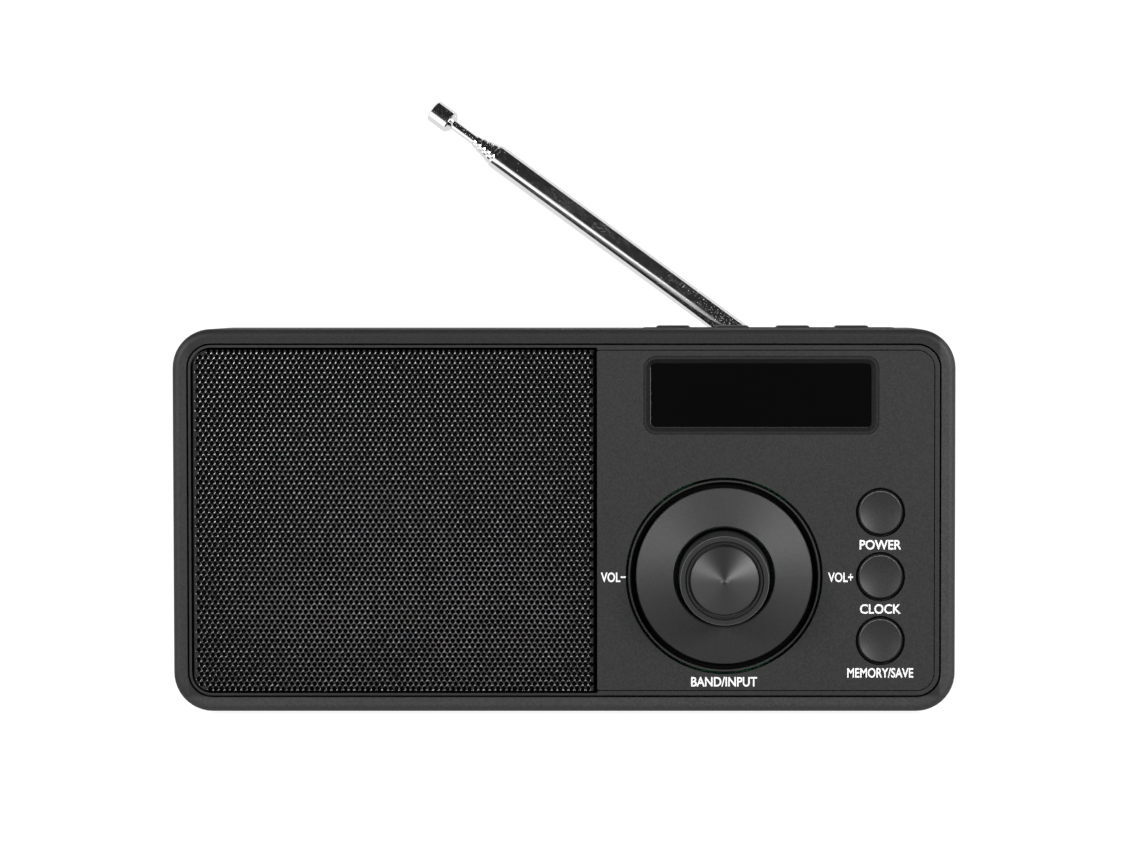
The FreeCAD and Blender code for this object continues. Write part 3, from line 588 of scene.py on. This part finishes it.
def painted_fold_shade(m):
    """1 along the folded edge of the grille's sheet, whose left corners are round, where painted shade makes
    it black.
    """
    x, _, z = m.split_place()
    middle = (grille_low.z + grille_high.z) / 2
    reach = (grille_high.z - grille_low.z) / 2 - GRILLE_CORNER
    across = m.past(grille_low.x + GRILLE_CORNER, x)
    up = m.past(m.gap(z, middle), reach)
    squares = m.math("ADD", m.times(across, across), m.times(up, up))
    rim = m.math("GREATER_THAN", squares, (GRILLE_CORNER - FOLD_SHADE) ** 2)
    return m.math("MAXIMUM", rim, m.math("GREATER_THAN", x, grille_high.x - FOLD_SHADE))


def painted_border_light(m):
    """Painted light along the case's border, as a share: most at the right, less below and at the left."""
    x, _, z = m.split_place()
    fade = CASE_BORDER * BORDER_FADE
    left = m.spread(x, 0.6, 0.0, case_low.x + fade, case_low.x + CASE_BORDER)
    right = m.spread(x, 0.0, 1.4, case_high.x - CASE_BORDER, case_high.x - fade)
    low = m.spread(z, 1.2, 0.0, case_base + fade, case_base + CASE_BORDER)
    return m.math("MAXIMUM", m.math("MAXIMUM", left, right), low)


def window_black():
    """The display's polished black window, with a pale line painted as a highlight along its left and lower
    edges.
    """
    m = Nodes("display_gloss")
    x, _, z = m.split_place()
    # Painted highlight: brightest along the left edge, dimmer along the lower edge.
    left = m.math("LESS_THAN", x, lens_low.x + WINDOW_HIGHLIGHT_WIDTH)
    past_left = m.past(lens_low.x + LENS_CORNER, x)
    past_low = m.past(lens_low.z + LENS_CORNER, z)
    squares = m.math("ADD", m.times(past_left, past_left), m.times(past_low, past_low))
    edge = m.math("GREATER_THAN", squares, (LENS_CORNER - WINDOW_HIGHLIGHT_WIDTH) ** 2)
    black = m.between(m.noise(40.0), (0.0012, 0.0012, 0.0013), (0.002, 0.002, 0.0022))
    painted_highlight = m.mixed(left, m.between(m.noise(900.0), (0.03, 0.03, 0.03), (0.045, 0.045, 0.045)),
                   m.between(m.noise(900.0), (0.13, 0.13, 0.13), (0.18, 0.18, 0.18)))
    m.link(m.mixed(edge, black, painted_highlight), m.shader.inputs["Base Color"])
    m.link(m.spread(m.noise(300.0, 2.0), 0.04, 0.07), m.shader.inputs["Roughness"])
    m.set(Specular_IOR_Level=0.08)
    m.bump(m.noise(1200.0, 1.0), 0.000001)
    return m.material


def make_looks():
    """One material for each of the record's slots."""
    return {
        # Painted light on the case's border and along the knob's and buttons' edges; painted shade in the
        # ring's groove, on the grille's folded edge and on the insert behind the grille.
        "case_soft_touch": moulded("case_soft_touch", 0.015, 0.55, specular=0.3, painted_light=painted_border_light),
        "panel_plastic": moulded("panel_plastic", 0.0195, 0.53, specular=0.36, painted_shade=painted_shade_behind_sheet),
        "grille_black": moulded("grille_black", 0.0035, 0.16, grain=3000.0, grain_depth=0.000004,
                                specular=1.0, index=1.72, painted_shade=painted_fold_shade),
        "bezel_black": moulded("bezel_black", 0.015, 0.45, specular=0.25),
        "display_gloss": window_black(),
        "dial_plastic": moulded("dial_plastic", 0.02, 0.55, grain=3200.0, grain_depth=0.000008,
                                specular=0.56, painted_shade=painted_groove_shade, painted_light=painted_knob_highlight),
        "button_plastic": moulded("button_plastic", 0.0175, 0.45, grain=3200.0, grain_depth=0.000006,
                                  specular=0.56, painted_light=painted_button_highlights),
        "spun_metal": spun_metal(),
        "chrome_plate": dusted_chrome(),
        "rubber_pad": moulded("rubber_pad", 0.008, 0.75, grain=2500.0, grain_depth=0.00002, specular=0.1),
        "zinc_steel": metal("zinc_steel", (0.6, 0.61, 0.63), 0.35),
        "black_steel": moulded("black_steel", 0.02, 0.35, grain=2500.0, specular=0.5),
        "ferrite": moulded("ferrite", 0.035, 0.5, grain=2000.0, grain_depth=0.00002, specular=0.4),
        "cone_paper": paper_pulp(),
        "coil_copper": wound_copper(),
        "circuit_board": solder_mask(),
        "component_black": moulded("component_black", 0.018, 0.45, grain=4000.0),
        "screen_black": moulded("screen_black", 0.002, 0.8, grain=4000.0, specular=0.05),
        "jack_black": gloss("jack_black", (0.012, 0.012, 0.012), (0.018, 0.018, 0.018), 0.25),
        "cell_wrap": gloss("cell_wrap", (0.02, 0.08, 0.22), (0.03, 0.1, 0.27), 0.2),
        "wire_insulation": gloss("wire_insulation", (0.2, 0.015, 0.015), (0.26, 0.02, 0.02), 0.4),
        "inner_plastic": moulded("inner_plastic", 0.03, 0.5),
    }


# Speaker grille -----------------------------------------------------------------------------------

def rounded_outline(low, high, radii, steps=6):
    """Points round a rectangle in the XZ plane; radii from the bottom left corner, turning towards +X."""
    corners = [(low[0], low[1]), (high[0], low[1]), (high[0], high[1]), (low[0], high[1])]
    inward = [(1, 1), (-1, 1), (-1, -1), (1, -1)]
    points = []
    for i, (corner, way, radius) in enumerate(zip(corners, inward, radii)):
        centre = (corner[0] + way[0] * radius, corner[1] + way[1] * radius)
        start = math.pi + i * math.pi / 2
        for k in range(steps + 1):
            angle = start + k * math.pi / 2 / steps
            points.append((centre[0] + radius * math.cos(angle), centre[1] + radius * math.sin(angle)))
    return points


def inside_outline(point, low, high, radii):
    """Whether a point is inside a rounded rectangle."""
    x, z = point
    if not (low[0] <= x <= high[0] and low[1] <= z <= high[1]):
        return False
    right = x > (low[0] + high[0]) / 2
    top = z > (low[1] + high[1]) / 2
    radius = radii[[[0, 1], [3, 2]][top][right]]
    gap_x = high[0] - x if right else x - low[0]
    gap_z = high[1] - z if top else z - low[1]
    if gap_x >= radius or gap_z >= radius:
        return True
    return math.hypot(radius - gap_x, radius - gap_z) <= radius


def piece_from(name, points, faces, body, material):
    """A piece made from points and faces, smooth except across its sharp edges."""
    mesh = bpy.data.meshes.new(name)
    mesh.from_pydata(points, [], faces)
    mesh.validate()
    mesh.polygons.foreach_set("use_smooth", [True] * len(mesh.polygons))
    mesh.set_sharp_from_angle(angle=SHARP_ANGLE)
    mesh.materials.append(material)
    piece = bpy.data.objects.new(name, mesh)
    bpy.context.scene.collection.objects.link(piece)
    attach(piece, body)
    return piece


def grille_bricks(low, high, radii):
    """The grid places (in quarter pitches and half rows) of every hole whose cell lies on the sheet."""
    columns = int((high[0] - low[0]) / HOLE_PITCH) + 2
    from_right = (columns // 2 + 0.5) * HOLE_PITCH
    middle = (high[0] - from_right, (low[1] + high[1]) / 2)
    rows = int((high[1] - low[1]) / HOLE_ROW) + 2
    bricks = []
    for row in range(-rows // 2, rows // 2 + 1):
        for column in range(-columns // 2 - 2, columns // 2 + 2):
            place = (4 * column + (2 if row % 2 else 0), 2 * row)
            corners = [grid_point((place[0] + i, place[1] + j), middle) for i in (-2, 2) for j in (-1, 1)]
            if all(inside_outline(corner, low, high, radii) for corner in corners):
                bricks.append(place)
    return bricks, middle


def grid_point(place, middle):
    return (middle[0] + place[0] * HOLE_PITCH / 4, middle[1] + place[1] * HOLE_ROW / 2)


def margin_triangles(outline, bricks, middle, cuts):
    """Triangles between the sheet's outline and the stepped edge of the perforated field."""
    uses = {}
    for i, j in bricks:
        ring = [(i + a, j + b) for a, b in BRICK_EDGE]
        for a, b in zip(ring, ring[1:] + ring[:1]):
            key = (min(a, b), max(a, b))
            uses[key] = uses.get(key, 0) + 1
    points = [Vector(p) for p in outline]
    count = len(points)
    edges = [(k, (k + 1) % count) for k in range(count)]
    index = {}
    for (a, b), used in uses.items():
        if used == 1:
            for end in (a, b):
                if end not in index:
                    index[end] = len(points)
                    points.append(Vector(grid_point(end, middle)))
            edges.append((index[a], index[b]))
    left = min(p[0] for p in outline)
    right = max(p[0] for p in outline)
    for cut in cuts:
        ends = [place for place in index if place[1] == cut]
        for side, x in ((min(ends), left), (max(ends), right)):
            points.append(Vector((x, grid_point(side, middle)[1])))
            edges.append((len(points) - 1, index[side]))
    made, _, faces, _, _, _ = delaunay_2d_cdt(points, edges, [], 1, 1e-7)
    cells = set(bricks)
    kept = []
    for face in faces:
        centre = sum((made[k] for k in face), Vector((0, 0))) / len(face)
        i = (centre.x - middle[0]) / (HOLE_PITCH / 4)
        j = (centre.y - middle[1]) / (HOLE_ROW / 2)
        row = 2 * round(j / 2)
        offset = 2 if (row // 2) % 2 else 0
        column = offset + 4 * round((i - offset) / 4)
        if (column, row) not in cells:
            kept.append(tuple((made[k].x, made[k].y) for k in face))
    return kept


class Plate:
    """Collects one closed perforated plate: its points are shared by place and depth."""

    def __init__(self):
        self.points = []
        self.faces = []
        self.index = {}
        self.edges = {}

    def point(self, x, y, z):
        key = (round(x * 1e8), round(y * 1e8), round(z * 1e8))
        if key not in self.index:
            self.index[key] = len(self.points)
            self.points.append((x, y, z))
        return self.index[key]

    def note_edges(self, ring):
        """Keep a cell's edges, each until a neighbour brings the same edge back the other way."""
        for a, b in zip(ring, ring[1:] + ring[:1]):
            key = tuple((round(x * 1e8), round(z * 1e8)) for x, z in (a, b))
            if key[::-1] in self.edges:
                del self.edges[key[::-1]]
            else:
                self.edges[key] = (a, b)

    def two_sided(self, ring, front, back):
        """A face at the front and its twin at the back."""
        self.faces.append([self.point(x, front, z) for x, z in ring])
        self.faces.append([self.point(x, back, z) for x, z in ring][::-1])
        self.note_edges(ring)

    def hole(self, centre, edge, front, back):
        """A hole with a sloped lead-in, and the sheet round it as far as the points of edge."""
        turns = [2 * math.pi * k / HOLE_STEPS for k in range(HOLE_STEPS)]
        levels = [(HOLE_RADIUS + HOLE_LEAD, front), (HOLE_RADIUS, front + HOLE_LEAD), (HOLE_RADIUS, back)]
        rings = []
        for radius, y in levels:
            ring = [(centre[0] + radius * math.cos(a), y, centre[1] + radius * math.sin(a)) for a in turns]
            rings.append(ring)
        rims = [[self.point(*p) for p in ring] for ring in rings]
        front_edge = [self.point(x, front, z) for x, z in edge]
        back_edge = [self.point(x, back, z) for x, z in edge]
        for k in range(HOLE_STEPS):
            n = (k + 1) % HOLE_STEPS
            self.faces.append([front_edge[k], front_edge[n], rims[0][n], rims[0][k]])
            self.faces.append([rims[0][k], rims[0][n], rims[1][n], rims[1][k]])
            self.faces.append([rims[1][k], rims[1][n], rims[2][n], rims[2][k]])
            self.faces.append([rims[2][k], rims[2][n], back_edge[n], back_edge[k]])
        self.note_edges(edge)

    def close(self, front, back):
        """Walls round the plate's own outer edge."""
        for a, b in self.edges.values():
            wall = [self.point(a[0], front, a[1]), self.point(a[0], back, a[1])]
            wall += [self.point(b[0], back, b[1]), self.point(b[0], front, b[1])]
            self.faces.append(wall)


def make_grille(material):
    """The perforated sheet in three closed plates, and the folded edge that carries it."""
    front = grille_low.y
    back = front + SHEET
    radii = [GRILLE_CORNER, GRILLE_INNER_CORNER, GRILLE_INNER_CORNER, GRILLE_CORNER]
    low = (grille_low.x, grille_low.z)
    high = (grille_high.x, grille_high.z)
    flat_low = (low[0] + FOLD, low[1] + FOLD)
    flat_high = (high[0] - FOLD, high[1] - FOLD)
    flat_radii = [max(r - FOLD, SMALLEST_CORNER) for r in radii]
    outline = rounded_outline(flat_low, flat_high, flat_radii)
    field_low = (flat_low[0] + FIELD_MARGIN, flat_low[1] + FIELD_MARGIN)
    field_high = (flat_high[0] - FIELD_MARGIN, flat_high[1] - FIELD_MARGIN)
    bricks, middle = grille_bricks(field_low, field_high, flat_radii)
    rows = sorted({j for _, j in bricks})
    share = len(rows) // GRILLE_PIECES
    cuts = [rows[share * (k + 1)] - 1 for k in range(GRILLE_PIECES - 1)]
    levels = [grid_point((0, cut), middle)[1] for cut in cuts]
    plates = [Plate() for _ in range(GRILLE_PIECES)]
    for i, j in bricks:
        plate = plates[sum(j > cut for cut in cuts)]
        edge = [grid_point((i + a, j + b), middle) for a, b in BRICK_EDGE]
        plate.hole(grid_point((i, j), middle), edge, front, back)
    for triangle in margin_triangles(outline, bricks, middle, cuts):
        centre = sum(z for _, z in triangle) / len(triangle)
        plates[sum(centre > level for level in levels)].two_sided(list(triangle), front, back)
    made = []
    for number, plate in enumerate(plates, 1):
        plate.close(front, back)
        name = f"grille_plate_{number}"
        made.append(piece_from(name, plate.points, plate.faces, "case", material))
    made.append(grille_edge(low, high, radii, front, material))
    for piece in made:
        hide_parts("speaker_grille")


def grille_edge(low, high, radii, front, material):
    """The sheet's folded edge: round over the front corner, then straight back to the insert."""
    turns = [math.pi / 2 * k / FOLD_STEPS for k in range(FOLD_STEPS + 1)]
    levels = [(FOLD * (1 - math.sin(a)), front + FOLD * (1 - math.cos(a))) for a in turns]
    levels += [(0.0, grille_high.y), (FOLD, grille_high.y), (FOLD, front + SHEET)]
    points = []
    faces = []
    for inset, y in levels:
        shrunk = [max(r - inset, SMALLEST_CORNER) for r in radii]
        ring = rounded_outline((low[0] + inset, low[1] + inset), (high[0] - inset, high[1] - inset), shrunk)
        points.extend((x, y, z) for x, z in ring)
    count = len(points) // len(levels)
    for level in range(len(levels)):
        following = (level + 1) % len(levels)
        for k in range(count):
            n = (k + 1) % count
            faces.append((level * count + k, level * count + n, following * count + n, following * count + k))
    return piece_from("grille_edge", points, faces, "case", material)


# Printed words ------------------------------------------------------------------------------------

def printed_word(name, text, centre, width, material):
    """A word printed on the panel, centred on a point, with its capitals CAP_HEIGHT tall."""
    curve = bpy.data.curves.new(name, "FONT")
    curve.body = text
    curve.align_x = "CENTER"
    curve.extrude = 0.1
    curve.offset = INK_WEIGHT
    curve.resolution_u = 4
    writing = bpy.data.objects.new(name, curve)
    bpy.context.scene.collection.objects.link(writing)
    bpy.context.view_layer.update()
    mesh = bpy.data.meshes.new_from_object(writing.evaluated_get(bpy.context.evaluated_depsgraph_get()))
    bpy.data.objects.remove(writing)
    lows = [min(v.co[i] for v in mesh.vertices) for i in range(3)]
    highs = [max(v.co[i] for v in mesh.vertices) for i in range(3)]
    across = width / (highs[0] - lows[0])
    up = CAP_HEIGHT / (highs[1] - lows[1])
    shape = bmesh.new()
    shape.from_mesh(mesh)
    bpy.data.meshes.remove(mesh)
    for v in shape.verts:
        x = centre.x + (v.co.x - (lows[0] + highs[0]) / 2) * across
        z = centre.z + (v.co.y - (lows[1] + highs[1]) / 2) * up
        depth = (v.co.z - lows[2]) / (highs[2] - lows[2])
        v.co = (x, panel_y - depth * INK, z)
    bmesh.ops.remove_doubles(shape, verts=shape.verts, dist=1e-7)
    bmesh.ops.recalc_face_normals(shape, faces=shape.faces)
    made = bpy.data.meshes.new(name)
    shape.to_mesh(made)
    shape.free()
    made.materials.append(material)
    word = bpy.data.objects.new(name, made)
    bpy.context.scene.collection.objects.link(word)
    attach(word, "case")


def print_words():
    """Plain words by the controls, in place of the real object's own markings."""
    ink = Nodes("white_ink")
    colour = ink.between(ink.noise(2500.0, 2.0), (0.72, 0.72, 0.72), (0.86, 0.86, 0.86))
    ink.link(colour, ink.shader.inputs["Base Color"])
    ink.link(ink.spread(ink.noise(4000.0), 0.4, 0.6), ink.shader.inputs["Roughness"])
    ring_radius = (ring_high.x - ring_low.x) / 2
    for node, text, width in (
        ("power_button", "POWER", 9.6 * MM),
        ("clock_button", "CLOCK", 9.4 * MM),
        ("memory_button", "MEMORY/SAVE", 15.2 * MM),
    ):
        low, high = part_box(node)
        middle = Vector(((low.x + high.x) / 2, 0, (low.z + high.z) / 2 - WORD_BELOW_BUTTON))
        printed_word(f"word_{node}", text, middle, width, ink.material)
    side = ring_radius + WORD_BESIDE_RING
    height = dial.z - WORD_DROP
    louder = Vector((dial.x + side + LOUDER_SHIFT, 0, height))
    softer = Vector((dial.x - side + SOFTER_SHIFT, 0, height))
    mode = Vector((dial.x, 0, dial.z - WORD_BELOW_DIAL))
    printed_word("word_louder", "VOL+", louder, 5.75 * MM, ink.material)
    printed_word("word_softer", "VOL\u2212", softer, 5.7 * MM, ink.material)
    printed_word("word_mode", "BAND/INPUT", mode, 15.2 * MM, ink.material)


def main():
    make_camera()
    make_studio()
    looks = make_looks()
    slots = {entry["node"]: entry["material_slot"] for entry in frame["record"]["subparts"]}
    for name, node in nodes.items():
        node.data.materials.clear()
        node.data.materials.append(looks[slots[name]])
    chrome = [node for name, node in nodes.items() if slots[name] == "chrome_plate"]
    make_chrome_sheet(chrome, nodes["rear_cover"])
    make_grille(looks["grille_black"])
    print_words()


main()
